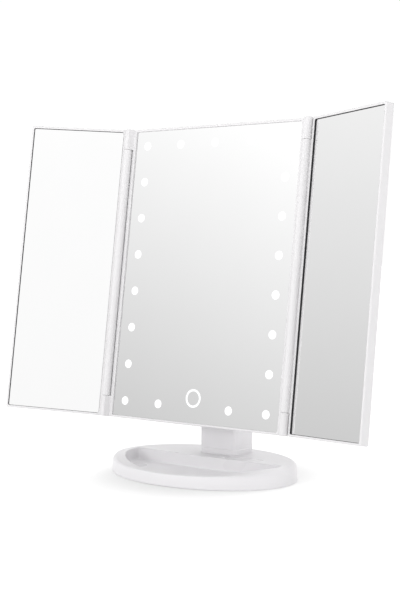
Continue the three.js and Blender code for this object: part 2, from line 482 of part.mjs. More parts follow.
// ---------------------------------------------------------------- wings
// Drawn for the right side, about the hinge line: x runs out from the pin, y backwards.
function wing(where, side, i) {
  const span = (a, b) => (i < 0 ? [-b, -a] : [a, b]);
  const inX = 5.3, outX = WING_W - 2.2, front = WING_RIM, back = WING_RIM + WING_T, barrel = KNUCKLE - 0.3;
  let f = cut(
    slabY(rrect(...span(1.6, WING_W), -HALF_H, HALF_H, 1.4), front, back),
    slabY(rrect(...span(inX, outX), -rz, rz, 1.2), front - 1, front + 4.2),
    slabY(rrect(...span(inX + 7, outX - 7), -rz + 8, rz - 8, 2), front, back + 1),
    slabY(rrect(...span(inX, outX), -rz, rz, 1.2), front + 5.2, back + 1),
  );
  f = cut(
    f.add(cylZ(HINGE.r, -barrel, barrel, 0, 0, 16)),
    cylZ(HINGE.r + 0.5, barrel, 125, 0, 0, 12),
    cylZ(HINGE.r + 0.5, -125, -barrel, 0, 0, 12),
    cylZ(1.4, 90, 110, 0, 0, 8),
    cylZ(1.4, -110, -90, 0, 0, 8),
  );
  put(where, side + "_wing_frame", f, WHITE);
  put(where, side + "_wing_mirror", slabY(rrect(...span(inX + GLASS_GAP, outX - GLASS_GAP), -gz, gz, 0.8), front - RIM_FRONT, front - RIM_FRONT + GLASS), MIRROR);
  put(
    where,
    side + "_wing_mirror_tape",
    cut(slabY(rrect(...span(inX + 0.35, outX - 0.35), -gz - 0.25, gz + 0.25, 0.8), front + 3.35, front + 3.95), slabY(rrect(...span(inX + 7.6, outX - 7.6), -gz + 7, gz - 7, 1), front + 3, front + 5)),
    TAPE,
  );
  put(where, side + "_wing_rear_cover", slabY(rrect(...span(inX + 0.3, outX - 0.3), -rz + 0.3, rz - 0.3, 1), back - 1.6, back), WHITE);
}
wing(wingL, "left", -1);
wing(wingR, "right", 1);

export default group;
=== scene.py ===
import math

import bmesh
import bpy
from mathutils import Matrix, Vector


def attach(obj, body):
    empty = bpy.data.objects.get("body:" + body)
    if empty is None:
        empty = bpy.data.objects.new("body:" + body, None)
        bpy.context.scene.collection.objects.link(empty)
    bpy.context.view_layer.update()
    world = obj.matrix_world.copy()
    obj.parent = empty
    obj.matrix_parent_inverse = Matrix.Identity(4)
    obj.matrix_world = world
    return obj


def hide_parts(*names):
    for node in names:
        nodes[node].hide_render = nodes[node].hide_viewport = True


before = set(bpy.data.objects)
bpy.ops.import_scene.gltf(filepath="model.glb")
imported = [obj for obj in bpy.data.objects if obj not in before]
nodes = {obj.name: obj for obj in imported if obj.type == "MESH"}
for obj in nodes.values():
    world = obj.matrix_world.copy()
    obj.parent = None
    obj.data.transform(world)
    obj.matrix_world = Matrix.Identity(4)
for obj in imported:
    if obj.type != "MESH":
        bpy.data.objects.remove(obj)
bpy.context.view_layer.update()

# ------------------------------------------------------------------ frames of the moving parts
# Shapes are drawn in millimetres in the frame of their own body and stored in the row frame, in metres.
TILT, WING_L, WING_R = map(math.radians, (8.15, 26.0, 20.5))
HEAD = Matrix.Translation((0, 1.2, 157.9)) @ Matrix.Rotation(-TILT, 4, "X")
LEFT = HEAD @ Matrix.Translation((-86.9, -3.0, 0)) @ Matrix.Rotation(WING_L, 4, "Z")
RIGHT = HEAD @ Matrix.Translation((86.9, -3.0, 0)) @ Matrix.Rotation(-WING_R, 4, "Z")
STAND = Matrix.Identity(4)
HW, HH = 83.2, 118.3
RIM, SIDE, TOP = -1.2, 2.8, 1.8
WING_W, WING_F, WING_B = 85.0, 1.8, 9.0
BAR_R, KNUCKLE = 3.35, 101.5


# ------------------------------------------------------------------ materials
def node_material(name):
    mat = bpy.data.materials.new(name)
    mat.use_nodes = True
    nt = mat.node_tree
    nt.nodes.clear()
    out = nt.nodes.new("ShaderNodeOutputMaterial")
    sh = nt.nodes.new("ShaderNodeBsdfPrincipled")
    nt.links.new(sh.outputs[0], out.inputs[0])
    tex = nt.nodes.new("ShaderNodeTexCoord")
    return mat, nt, sh, tex.outputs["Object"]


def noise(nt, co, scale, detail=2.0, rough=0.5, stretch=None):
    n = nt.nodes.new("ShaderNodeTexNoise")
    n.inputs["Scale"].default_value = scale
    n.inputs["Detail"].default_value = detail
    n.inputs["Roughness"].default_value = rough
    if stretch:
        m = nt.nodes.new("ShaderNodeMapping")
        m.inputs["Scale"].default_value = stretch
        nt.links.new(co, m.inputs[0])
        co = m.outputs[0]
    nt.links.new(co, n.inputs["Vector"])
    return n.outputs["Fac"]


def ramp(nt, fac, stops):
    r = nt.nodes.new("ShaderNodeValToRGB")
    e = r.color_ramp.elements
    while len(e) < len(stops):
        e.new(0.5)
    for el, (p, c) in zip(e, stops):
        el.position = p
        el.color = (*c, 1.0)
    nt.links.new(fac, r.inputs[0])
    return r.outputs[0]


def spread(nt, fac, lo, hi, a=0.3, b=0.7):
    m = nt.nodes.new("ShaderNodeMapRange")
    m.inputs["From Min"].default_value = a
    m.inputs["From Max"].default_value = b
    m.inputs["To Min"].default_value = lo
    m.inputs["To Max"].default_value = hi
    nt.links.new(fac, m.inputs["Value"])
    return m.outputs[0]


def bump(nt, sh, height, strength, distance):
    b = nt.nodes.new("ShaderNodeBump")
    b.inputs["Strength"].default_value = strength
    b.inputs["Distance"].default_value = distance
    nt.links.new(height, b.inputs["Height"])
    nt.links.new(b.outputs[0], sh.inputs["Normal"])


def shades(c, d):
    return tuple(max(0.0, min(1.0, x * d)) for x in c)


def plastic(name, color, rough, vary=0.012, grain=2600.0, grain_depth=0.04, ior=1.5, spec=0.5, uneven=0.035):
    """Moulded plastic: very slight cloudiness in the colour, uneven gloss and a fine moulded skin."""
    mat, nt, sh, co = node_material(name)
    cloud = noise(nt, co, 38.0, 3.0)
    nt.links.new(ramp(nt, cloud, [(0.3, shades(color, 1 - vary)), (0.7, shades(color, 1 + vary))]), sh.inputs["Base Color"])
    nt.links.new(spread(nt, noise(nt, co, 14.0, 1.0), rough - uneven, rough + uneven), sh.inputs["Roughness"])
    if grain_depth:
        bump(nt, sh, noise(nt, co, grain, 2.0), grain_depth, 0.00002)
    sh.inputs["IOR"].default_value = ior
    sh.inputs["Specular IOR Level"].default_value = spec
    return mat


def metal(name, color, rough, brushed=None, grain=900.0):
    mat, nt, sh, co = node_material(name)
    n = noise(nt, co, grain, 3.0, 0.6, brushed)
    nt.links.new(ramp(nt, n, [(0.3, shades(color, 0.93)), (0.7, shades(color, 1.05))]), sh.inputs["Base Color"])
    nt.links.new(spread(nt, n, rough - 0.06, rough + 0.08), sh.inputs["Roughness"])
    bump(nt, sh, n, 0.08, 0.0001)
    sh.inputs["Metallic"].default_value = 1.0
    return mat


def mirror_material(name, tint):
    """Silvered glass: a full reflection with the faintest haze."""
    mat, nt, sh, co = node_material(name)
    haze = noise(nt, co, 22.0, 4.0)
    nt.links.new(ramp(nt, haze, [(0.35, shades(tint, 0.996)), (0.65, shades(tint, 1.002))]), sh.inputs["Base Color"])
    nt.links.new(spread(nt, noise(nt, co, 55.0, 5.0), 0.008, 0.022), sh.inputs["Roughness"])
    sh.inputs["Metallic"].default_value = 1.0
    return mat


def lamp_material(name, strength):
    """Frosted window in the glass with the lamp on behind it."""
    mat, nt, sh, co = node_material(name)
    frost = noise(nt, co, 3200.0, 3.0)
    white = ramp(nt, frost, [(0.2, (0.96, 0.965, 0.975)), (0.8, (1.0, 1.0, 1.0))])
    nt.links.new(ramp(nt, frost, [(0.2, (0.27, 0.275, 0.28)), (0.8, (0.33, 0.33, 0.33))]), sh.inputs["Base Color"])
    nt.links.new(white, sh.inputs["Emission Color"])
    nt.links.new(spread(nt, frost, 0.45, 0.6), sh.inputs["Roughness"])
    bump(nt, sh, frost, 0.15, 0.0001)
    sh.inputs["Emission Strength"].default_value = strength
    return mat


# One white plastic in four painted tones, set to how light falls: the neck's copy is painted lighter against the shade
# under the head, the stand's sits in the middle, the head's is painted darker to deepen the shading on the hinge
# barrels, and the rear cover's is painted darkest.
WHITE_HEAD_PAINTED_SHADE = plastic("white_plastic_head_painted_shade", (0.655, 0.647, 0.655), 0.3, vary=0.006, grain_depth=0.0, spec=0.08, uneven=0.01)
WHITE_STAND_PAINTED_TONE = plastic("white_plastic_stand_painted_tone", (0.685, 0.676, 0.69), 0.28, vary=0.006, grain_depth=0.0, spec=0.3, uneven=0.01)
WHITE_NECK_PAINTED_LIGHT = plastic("white_plastic_neck_painted_light", (0.775, 0.765, 0.78), 0.28, vary=0.006, grain_depth=0.0, spec=0.3, uneven=0.01)
WHITE_REAR_PAINTED_SHADE = plastic("white_plastic_rear_painted_shade", (0.63, 0.622, 0.63), 0.34, vary=0.006, grain_depth=0.0, spec=0.3, uneven=0.01)
SATIN = plastic("white_satin_plastic", (0.74, 0.73, 0.75), 0.45, grain=1800.0, grain_depth=0.12)
DARK = plastic("black_seal_rubber", (0.018, 0.018, 0.02), 0.7, vary=0.15, grain=3500.0, grain_depth=0.25)
RUBBER = plastic("grey_black_rubber", (0.03, 0.03, 0.032), 0.75, vary=0.15, grain=1500.0, grain_depth=0.4)
BLACK = plastic("black_switch_plastic", (0.022, 0.022, 0.024), 0.42, vary=0.12, grain=2600.0, grain_depth=0.2)
NYLON = plastic("natural_nylon", (0.82, 0.8, 0.74), 0.4, vary=0.02)
BOARD = plastic("white_lamp_board", (0.85, 0.85, 0.8), 0.5, vary=0.02)
GREEN = plastic("green_board", (0.02, 0.12, 0.05), 0.35, vary=0.2, grain=700.0, grain_depth=0.3)
JACKET = plastic("cell_jacket", (0.07, 0.1, 0.16), 0.35, vary=0.1)
WIRE = plastic("red_wire_skin", (0.5, 0.03, 0.02), 0.4, vary=0.08)
STEEL = metal("plain_steel", (0.55, 0.56, 0.58), 0.32, (1, 1, 6))
PLATED = metal("plated_steel", (0.78, 0.78, 0.76), 0.2)
COPPER = metal("copper_foil", (0.72, 0.45, 0.22), 0.35)
MIRROR = mirror_material("mirror_silver", (0.967, 0.967, 0.967))
LAMP = lamp_material("lamp_window", 0.78)


# ------------------------------------------------------------------ mesh tools
def rounded(x0, x1, z0, z1, r, n=8):
    """A rounded rectangle, anticlockwise, with the same number of points whatever its size."""
    r = max(r, 0.02)
    pts = []
    for cx, cz, a0 in ((x1 - r, z0 + r, -90), (x1 - r, z1 - r, 0), (x0 + r, z1 - r, 90), (x0 + r, z0 + r, 180)):
        for i in range(n + 1):
            a = math.radians(a0 + 90.0 * i / n)
            pts.append((cx + r * math.cos(a), cz + r * math.sin(a)))
    return pts


def arc(cx, cy, r, a0, a1, n):
    return [(cx + r * math.cos(math.radians(a0 + (a1 - a0) * i / n)), cy + r * math.sin(math.radians(a0 + (a1 - a0) * i / n))) for i in range(n + 1)]


def lofted(rings, closed=False, caps=(False, False)):
    """Rings of points with equal counts, joined by quads."""
    bm = bmesh.new()
    vs = [[bm.verts.new(p) for p in r] for r in rings]
    n = len(rings[0])
    last = len(rings) if closed else len(rings) - 1
    for k in range(last):
        a, b = vs[k], vs[(k + 1) % len(rings)]
        for i in range(n):
            j = (i + 1) % n
            bm.faces.new((a[i], a[j], b[j], b[i]))
    for cap, ring in zip(caps, (vs[0], vs[-1])):
        if cap:
            bm.faces.new(ring)
    return bm


def lathe(profile, seg, place=Matrix.Identity(4)):
    """Turned about Z from (radius, height) pairs, closed on the axis at both ends."""
    bm = bmesh.new()
    rows = []
    for r, z in profile:
        if r < 1e-6:
            rows.append([bm.verts.new((0, 0, z))])
        else:
            rows.append([bm.verts.new((r * math.cos(2 * math.pi * i / seg), r * math.sin(2 * math.pi * i / seg), z)) for i in range(seg)])
    for a, b in zip(rows, rows[1:]):
        for i in range(seg):
            j = (i + 1) % seg
            if len(a) == 1:
                bm.faces.new((a[0], b[j], b[i]))
            elif len(b) == 1:
                bm.faces.new((a[i], a[j], b[0]))
            else:
                bm.faces.new((a[i], a[j], b[j], b[i]))
    bm.transform(place)
    return bm


def prism(outline, a, b, axis="Z", bevel=0.0, seg=4):
    """An outline pushed from a to b along an axis, with rounded edges where asked."""
    put = {"Z": lambda p, t: (p[0], p[1], t), "Y": lambda p, t: (p[0], t, p[1]), "X": lambda p, t: (t, p[0], p[1])}[axis]
    bm = lofted([[put(p, a) for p in outline], [put(p, b) for p in outline]], caps=(True, True))
    if bevel:
        bmesh.ops.recalc_face_normals(bm, faces=bm.faces)
        sharp = [e for e in bm.edges if len(e.link_faces) == 2 and e.calc_face_angle() > math.radians(35)]
        bmesh.ops.bevel(bm, geom=sharp, offset=bevel, segments=seg, profile=0.5, affect="EDGES", clamp_overlap=True)
    return bm


def merged(*parts):
    """Several closed shells in one mesh."""
    mesh = bpy.data.meshes.new("tmp")
    whole = bmesh.new()
    for p in parts:
        bmesh.ops.recalc_face_normals(p, faces=p.faces)
        p.to_mesh(mesh)
        whole.from_mesh(mesh)
        p.free()
    bpy.data.meshes.remove(mesh)
    return whole


def piece(name, bm, place, body, mat, stands_for=(), angle=32, weighted=True, cuts=()):
    """Finishes a mesh: metres, row frame, smooth shading with real creases, material, body."""
    bmesh.ops.recalc_face_normals(bm, faces=bm.faces)
    bm.transform(place)
    bm.transform(Matrix.Scale(0.001, 4))
    if place.determinant() < 0:
        bmesh.ops.reverse_faces(bm, faces=bm.faces)
    mesh = bpy.data.meshes.new(name)
    bm.to_mesh(mesh)
    bm.free()
    o = bpy.data.objects.new(name, mesh)
    bpy.context.scene.collection.objects.link(o)
    for c in cuts:
        cutter(o, c, place)
    crease(o, angle)
    mesh = o.data
    mesh.materials.clear()
    mesh.materials.append(mat)
    if weighted:
        w = o.modifiers.new("normals", "WEIGHTED_NORMAL")
        w.keep_sharp = True
        w.weight = 60
    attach(o, body)
    if stands_for:
        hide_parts(*stands_for)
    return o


def crease(o, angle):
    bm = bmesh.new()
    bm.from_mesh(o.data)
    for f in bm.faces:
        f.smooth = True
    for e in bm.edges:
        e.smooth = len(e.link_faces) == 2 and e.calc_face_angle() < math.radians(angle)
    bm.to_mesh(o.data)
    bm.free()


def cutter(o, bm, place):
    """Cuts the closed shape bm out of o."""
    bmesh.ops.recalc_face_normals(bm, faces=bm.faces)
    bm.transform(place)
    bm.transform(Matrix.Scale(0.001, 4))
    mesh = bpy.data.meshes.new("cut")
    bm.to_mesh(mesh)
    bm.free()
    c = bpy.data.objects.new("cut", mesh)
    bpy.context.scene.collection.objects.link(c)
    m = o.modifiers.new("cut", "BOOLEAN")
    m.operation = "DIFFERENCE"
    m.solver = "EXACT"
    m.object = c
    dg = bpy.context.evaluated_depsgraph_get()
    made = bpy.data.meshes.new_from_object(o.evaluated_get(dg))
    o.modifiers.remove(m)
    old = o.data
    o.data = made
    bpy.data.meshes.remove(old)
    bpy.data.objects.remove(c)
    bpy.data.meshes.remove(mesh)


def along_y(profile, seg, x, z, y0=0.0):
    """A turned shape about a line along +Y through (x, z); profile heights run along +Y."""
    return lathe(profile, seg, Matrix.Translation((x, y0, z)) @ Matrix.Rotation(-math.pi / 2, 4, "X"))


def along_x(profile, seg, y, z, x0=0.0, flip=False):
    turn = Matrix.Rotation(-math.pi / 2 if flip else math.pi / 2, 4, "Y")
    return lathe(profile, seg, Matrix.Translation((x0, y, z)) @ turn)


def cross_cutters(x, z, y0, y1, half=1.55, w=0.36, axis="Y", taper=0.55):
    """A tapered cross recess for a screw head."""
    out = []
    for a, b in ((half, w), (w, half)):
        top = rounded(x - a, x + a, z - b, z + b, 0.08, 2)
        low = rounded(x - a * taper, x + a * taper, z - b * taper, z + b * taper, 0.05, 2)
        if axis == "Y":
            out.append(lofted([[(p[0], y1, p[1]) for p in top], [(p[0], y0, p[1]) for p in low]], caps=(True, True)))
        else:
            out.append(lofted([[(p[0], p[1], y1) for p in top], [(p[0], p[1], y0) for p in low]], caps=(True, True)))
    return out


# ------------------------------------------------------------------ camera
cam = bpy.data.objects.new("camera", bpy.data.cameras.new("camera"))
bpy.context.scene.collection.objects.link(cam)
AZ, EL = math.radians(37.0675), math.radians(2.66305)
back = Vector((math.sin(AZ) * math.cos(EL), -math.cos(AZ) * math.cos(EL), math.sin(EL)))
cam.location = (0.577373, -0.768104, 0.182145)
cam.rotation_mode = "QUATERNION"
cam.rotation_quaternion = (-back).to_track_quat("-Z", "Y")
cam.data.sensor_width = 36.0
cam.data.lens = 1231.67 * 36.0 / 600.0
cam.data.clip_start, cam.data.clip_end = 0.01, 60.0
bpy.context.scene.camera = cam

# ------------------------------------------------------------------ oval base
BA, BB, FLOOR = 80.3, 56.8, 4.2
CENTRE = (0.0, -20.0)


def top_at(y, drop=0.0):
    """Height of the base's top: level behind, falling towards the front, with a soft bend between."""
    t = -12.6 - y
    return 13.9 - 0.096 * (0.0 if t < -6 else t if t > 6 else (t + 6) ** 2 / 24) - drop


def tray_curve(grow, n_front=220, n_wall=110, n_corner=12, r=2.2):
    """The tray's edge: the front of an oval inside the rim and a back wall that bows forward."""
    a, b, e = 71.0 + grow, 52.3 + grow, 2 / 1.7
    bend = lambda v: math.copysign(abs(v) ** e, v)
    front = lambda t: (a * bend(math.cos(t)), b * bend(math.sin(t)))
    wall = lambda x: 3.0 + 0.0007 * x * x + grow
    t0 = 0.6
    while front(t0)[1] > wall(front(t0)[0]):
        t0 -= 0.0001
    corner = front(t0)
    t1 = t0
    while math.dist(front(t1), corner) < r:
        t1 -= 0.0001
    pts = [front(math.pi - t1 + (math.pi + 2 * t1) * i / n_front) for i in range(n_front + 1)]
    p, q = front(t1), (corner[0] - r, wall(corner[0] - r))
    blend = [tuple((1 - u) ** 2 * p[k] + 2 * u * (1 - u) * corner[k] + u * u * q[k] for k in (0, 1)) for u in [i / n_corner for i in range(1, n_corner)]]
    pts += blend
    for i in range(n_wall + 1):
        x = q[0] - 2 * q[0] * i / n_wall
        pts.append((x, wall(x)))
    return pts + [(-x, y) for x, y in reversed(blend)]


# matching points on the oval, at the same bearing from the tray's middle
angles = [math.atan2(p[1] - CENTRE[1], p[0] - CENTRE[0]) for p in tray_curve(0.0)]


def oval(off):
    out = []
    for t, o in zip(angles, off if isinstance(off, list) else [off] * len(angles)):
        a, b = BA - o, BB - o
        dx, dy = math.cos(t), math.sin(t)
        A = (dx / a) ** 2 + (dy / b) ** 2
        B = 2 * (CENTRE[0] * dx / a**2 + CENTRE[1] * dy / b**2)
        C = (CENTRE[0] / a) ** 2 + (CENTRE[1] / b) ** 2 - 1
        k = (-B + math.sqrt(B * B - 4 * A * C)) / (2 * A)
        out.append((CENTRE[0] + k * dx, CENTRE[1] + k * dy))
    return out


level = lambda pts, z: [(x, y, z) for x, y in pts]
draped = lambda pts, drop=0.0: [(x, y, top_at(y, drop)) for x, y in pts]
rings = [level(oval(2.2), 3.4), level(oval(2.2), 0.75), level(oval(1.95), 0.5), level(oval(0.55), 0.5), level(oval(0.3), 0.56), level(oval(0.1), 0.75), level(oval(0.0), 1.05)]
roll = [1.3 + 3.2 * abs(x / BA) ** 3 for x, y in oval(0.0)]  # the upper edge is rounder at the two ends
rings.append([(x, y, top_at(y, r + 0.15)) for (x, y), r in zip(oval(0.55), roll)])
for t in (0, 15, 30, 45, 60, 75, 90):
    k = math.radians(t)
    rings.append([(x, y, top_at(y, r * (1 - math.sin(k)))) for (x, y), r in zip(oval([0.56 + r * (1 - math.cos(k)) for r in roll]), roll)])
rings.append(draped(oval([0.56 + r + 0.3 for r in roll])))
edge = 0.8  # rounding of the tray's upper edge
outer_ring, inner_ring = oval([0.56 + r + 0.3 for r in roll]), tray_curve(edge + 0.3)
for u in (0.25, 0.5, 0.75, 1.0):
    rings.append(draped([(p[0] + (q[0] - p[0]) * u, p[1] + (q[1] - p[1]) * u) for p, q in zip(outer_ring, inner_ring)]))
for t in (0, 18, 36, 54, 72, 90):
    k = math.radians(t)
    rings.append(draped(tray_curve(edge - edge * math.sin(k)), edge - edge * math.cos(k)))
foot = 1.6
rings.append(draped(tray_curve(-0.05), edge + 0.4))
rings.append(level(tray_curve(-0.95), FLOOR + foot))
for t in (18, 36, 54, 72, 90):
    k = math.radians(t)
    rings.append(level(tray_curve(-0.97 - foot * (1 - math.cos(k))), FLOOR + foot - foot * math.sin(k)))
rings.append([(CENTRE[0] + (x - CENTRE[0]) * 0.9, CENTRE[1] + (y - CENTRE[1]) * 0.9, FLOOR) for x, y, _ in rings[-1]])
body = lofted(rings, caps=(True, True))
base = piece("base_shell_visual", body, STAND, "stand", WHITE_STAND_PAINTED_TONE, ("base_shell",), angle=38)

# bottom plate, a flat oval with a rounded edge and sunk screw holes
RN = 160
plain = lambda off, z: [((BA - off) * math.cos(2 * math.pi * i / RN), (BB - off) * math.sin(2 * math.pi * i / RN), z) for i in range(RN)]
plate = lofted([plain(2.6, 2.6), plain(2.6, 1.5), plain(2.75, 1.3), plain(3.0, 1.2)], caps=(True, True))
FEET = {"foot_front_left": (-42, -36), "foot_front_right": (42, -36), "foot_rear_left": (-42, 36), "foot_rear_right": (42, 36)}
BASE_SCREWS = [(-58, 20), (58, 20), (-28, 45), (28, 45)]
holes = [prism([(x + 6.3 * math.cos(2 * math.pi * i / 40), y + 6.3 * math.sin(2 * math.pi * i / 40)) for i in range(40)], 0.5, 1.9) for x, y in FEET.values()]
holes += [prism([(x + 3.0 * math.cos(2 * math.pi * i / 32), y + 3.0 * math.sin(2 * math.pi * i / 32)) for i in range(32)], 0.5, 1.9) for x, y in BASE_SCREWS]
piece("base_bottom_plate_visual", plate, STAND, "stand", SATIN, ("base_bottom_plate",), cuts=holes)

for name, (x, y) in FEET.items():
    pad = lathe([(0, 0.0), (4.9, 0.0), (5.35, 0.04), (5.75, 0.22), (5.95, 0.5), (6.0, 0.8), (6.0, 1.6), (0, 1.6)], 48, Matrix.Translation((x, y, 0)))
    piece(name + "_visual", pad, STAND, "stand", RUBBER, (name,), angle=50)
for k, (x, y) in enumerate(BASE_SCREWS, 1):
    at = Matrix.Translation((x, y, 0))
    head_of = lathe([(0, 1.22), (1.2, 1.22), (2.1, 1.3), (2.45, 1.5), (2.5, 1.75), (1.0, 1.78), (1.0, 8.8), (0, 8.8)], 32, at)
    piece("base_screw_%d_visual" % k, head_of, STAND, "stand", STEEL, ("base_screw_%d" % k,), angle=40, cuts=cross_cutters(x, y, 1.9, 1.0, axis="Z"))

# ------------------------------------------------------------------ neck
NY, NZ, NR, NB = 29.5, 82.0, 10.25, 44.9
side = [(NY - NR, 16.2), (NY - NR, NZ)] + [(NY + NR * math.cos(math.radians(t)), NZ + NR * math.sin(math.radians(t))) for t in range(174, 0, -6)] + [(NY + NR, NZ), (NY + NR, 76.0), (NB, 62.0), (NB, 16.2)]
column = prism(side, -17.75, 17.75, "X")
bmesh.ops.recalc_face_normals(column, faces=column.faces)
long_edges = [e for e in column.edges if len(e.link_faces) == 2 and e.calc_face_angle() > math.radians(35) and min(v.co.z for v in e.verts) > 16.1 and not all(abs(v.co.z - 16.2) < 1e-3 for v in e.verts)]
bmesh.ops.bevel(column, geom=long_edges, offset=3.4, segments=9, profile=0.5, affect="EDGES", clamp_overlap=False)
grow = lambda d, z: [(x, y, z) for x, y in rounded(-17.75 - d, 17.75 + d, NY - NR - d, NB + d, 5.0 + d, 12)]
collar = lofted([grow(0.55, 12.9), grow(0.7, 13.1), grow(0.7, 17.5), grow(0.62, 17.85), grow(0.42, 18.1), grow(0.15, 18.2), grow(-0.3, 18.2)], caps=(True, True))
# The neck and its collar take the copy of the white plastic that is painted lighter against the head's shade.
piece("neck_body_visual", column, STAND, "stand", WHITE_NECK_PAINTED_LIGHT, ("neck_body",), angle=38,
      cuts=[prism(rounded(-14.5, 14.5, 28.0, 59.0, 1.2, 5), NB - 2.0, NB + 4, "Y")])
piece("neck_collar_visual", collar, STAND, "stand", WHITE_NECK_PAINTED_LIGHT, angle=38)
cover = prism(rounded(-14.2, 14.2, 28.3, 58.7, 1.0, 5), NB - 1.8, NB, "Y", bevel=0.35, seg=3)
piece("neck_rear_cover_visual", cover, STAND, "stand", WHITE_REAR_PAINTED_SHADE, ("neck_rear_cover",))


# ------------------------------------------------------------------ head
def frame_ring(x0, x1, z0, z1, r_out, r_in, profile, n=8):
    """A closed frame: profile is (inset left, inset right, inset top and bottom, depth)."""
    rings = []
    for il, ir, iz, y in profile:
        grown = min(il, ir, iz)
        r = r_out - grown if grown < 1.0 else max(r_in, 0.3)
        rings.append([(px, y, pz) for px, pz in rounded(x0 + il, x1 - ir, z0 + iz, z1 - iz, max(r, 0.3), n)])
    return lofted(rings, closed=True)


def frame_profile(front, back, left, right, top, ledge_y, pocket, fillet=0.75, hinge=1.0):
    p = [(0.35, 0.35, 0.35, back), (0.1, 0.1, 0.1, back - 0.12), (0, 0, 0, back - 0.4)]
    for t in (0, 18, 36, 54, 72, 90):
        k = math.radians(t)
        d = fillet - fillet * math.cos(k)
        p.append((d * hinge, d, d, front + fillet - fillet * math.sin(k)))
    e = 0.3
    for t in (90, 60, 30, 0):
        k = math.radians(t)
        d = e * (1 - math.cos(k))
        p.append((left - e + e * math.cos(k), right - e + e * math.cos(k), top - e + e * math.cos(k), front + e - e * math.sin(k)))
    p += [(left, right, top, ledge_y), (left + pocket, right + pocket, top + pocket, ledge_y), (left + pocket, right + pocket, top + pocket, ledge_y + 0.9),
          (2.0, 2.0, 1.6, ledge_y + 0.9), (2.0, 2.0, 1.6, back)]
    return p


def knuckle(x, up):
    """A fixed hinge barrel, run smoothly into the frame's side and ledge."""
    s = 1 if x > 0 else -1
    hub = [(BAR_R * math.cos(math.radians(t)), -3.0 + BAR_R * math.sin(math.radians(t))) for t in range(-125, 97, 6)]
    out = [(86.9 + px, py) for px, py in hub] + [(86.4, 1.2), (82.0, 1.2), (82.0, RIM), (83.0, RIM - 0.05)]
    z0, z1 = (KNUCKLE, HH) if up else (-HH, -KNUCKLE)
    bm = prism([(s * px, py) for px, py in out], z0, z1, "Z")
    bmesh.ops.recalc_face_normals(bm, faces=bm.faces)
    far = z1 if up else z0
    end = [e for e in bm.edges if all(abs(v.co.z - far) < 1e-4 for v in e.verts)]
    bmesh.ops.bevel(bm, geom=end, offset=1.3, segments=5, profile=0.5, affect="EDGES", clamp_overlap=True)
    return bm


def lip(s):
    """The ledge behind a hinge barrel, hollowed to the barrel's round."""
    groove = [(86.9 - 3.68 * math.cos(math.radians(t)), -3.0 + 3.68 * math.sin(math.radians(t))) for t in range(38, 90, 4)]
    out = [(HW - 1.5, groove[0][1])] + groove + [(88.0, 0.68), (88.2, 0.9), (88.2, 3.2), (88.0, 3.4), (HW - 1.5, 3.4)]
    bm = prism([(s * x, y) for x, y in out], -KNUCKLE + 0.1, KNUCKLE - 0.1, "Z")
    bmesh.ops.recalc_face_normals(bm, faces=bm.faces)
    x0, x1 = sorted((s * (HW - 1.5), s * 88.2))
    return merged(bm, prism(rounded(x0, x1, 0.65, 3.4, 0.3, 3), -HH + 0.6, HH - 0.6, "Z"))


parts = [frame_ring(-HW, HW, -HH, HH, 2.5, 1.2, frame_profile(RIM, 8.0, SIDE, SIDE, TOP, 2.9, 7.4))]
parts += [knuckle(s * 86.9, up) for s in (-1, 1) for up in (True, False)]
parts += [lip(-1), lip(1)]
piece("centre_frame_visual", merged(*parts), HEAD, "head", WHITE_HEAD_PAINTED_SHADE, ("centre_frame",), angle=40)


def pane(x0, x1, z0, z1, y0, t=2.0, r=0.8, arris=0.18):
    """A glass plate with a fine ground edge."""
    ring = lambda d, y: [(px, y, pz) for px, pz in rounded(x0 + d, x1 - d, z0 + d, z1 - d, max(r - d, 0.2), 6)]
    return lofted([ring(arris, y0), ring(0.0, y0 + arris), ring(0.0, y0 + t - arris), ring(arris, y0 + t)], caps=(True, True))


def seal(x0, x1, z0, z1, front, glass_y, deep, wall=0.19):
    """The black edging that shows as a hairline between the rim and the glass, with its foot behind the glass."""
    ring = lambda d, y: [(px, y, pz) for px, pz in rounded(x0 + d, x1 - d, z0 + d, z1 - d, 1.0, 6)]
    prof = [(0.01, glass_y + deep), (0.01, front + 0.3), (wall, front + 0.3), (wall, glass_y + 2.12), (6.8, glass_y + 2.12), (6.8, glass_y + deep)]
    return lofted([ring(d, y) for d, y in prof], closed=True)


def tape(x0, x1, z0, z1, glass_y, deep):
    """Foam tape that lies wholly behind the glass."""
    ring = lambda d, y: [(px, y, pz) for px, pz in rounded(x0 + d, x1 - d, z0 + d, z1 - d, 1.0, 6)]
    prof = [(0.15, glass_y + deep), (0.15, glass_y + 2.12), (6.8, glass_y + 2.12), (6.8, glass_y + deep)]
    return lofted([ring(d, y) for d, y in prof], closed=True)


gx, gz = HW - SIDE, HH - TOP
piece("centre_mirror_visual", pane(-gx + 0.02, gx - 0.02, -gz + 0.02, gz - 0.02, 0.0, arris=0.06), HEAD, "head", MIRROR, ("centre_mirror",), weighted=False, angle=20)
piece("centre_mirror_tape_visual", tape(-gx, gx, -gz, gz, 0.0, 2.7), HEAD, "head", DARK, ("centre_mirror_tape",))

# lamp windows and the touch ring, each standing a hair in front of the glass
spots = []
for i in range(8):
    for s in (-1, 1):
        spots.append((s * 68.57, 104.3 - i * 29.8))
spots += [(i * 34.28, 104.3) for i in (-1, 0, 1)] + [(i * 34.28, 104.3 - 7 * 29.8) for i in (-1, 1)]
dots = [along_y([(0, -0.06), (3.1, -0.06), (3.35, -0.045), (3.42, 0.0), (3.42, 0.3), (0, 0.3)], 40, x, z) for x, z in spots]
piece("lamp_windows", merged(*dots), HEAD, "head", LAMP, weighted=False, angle=60)


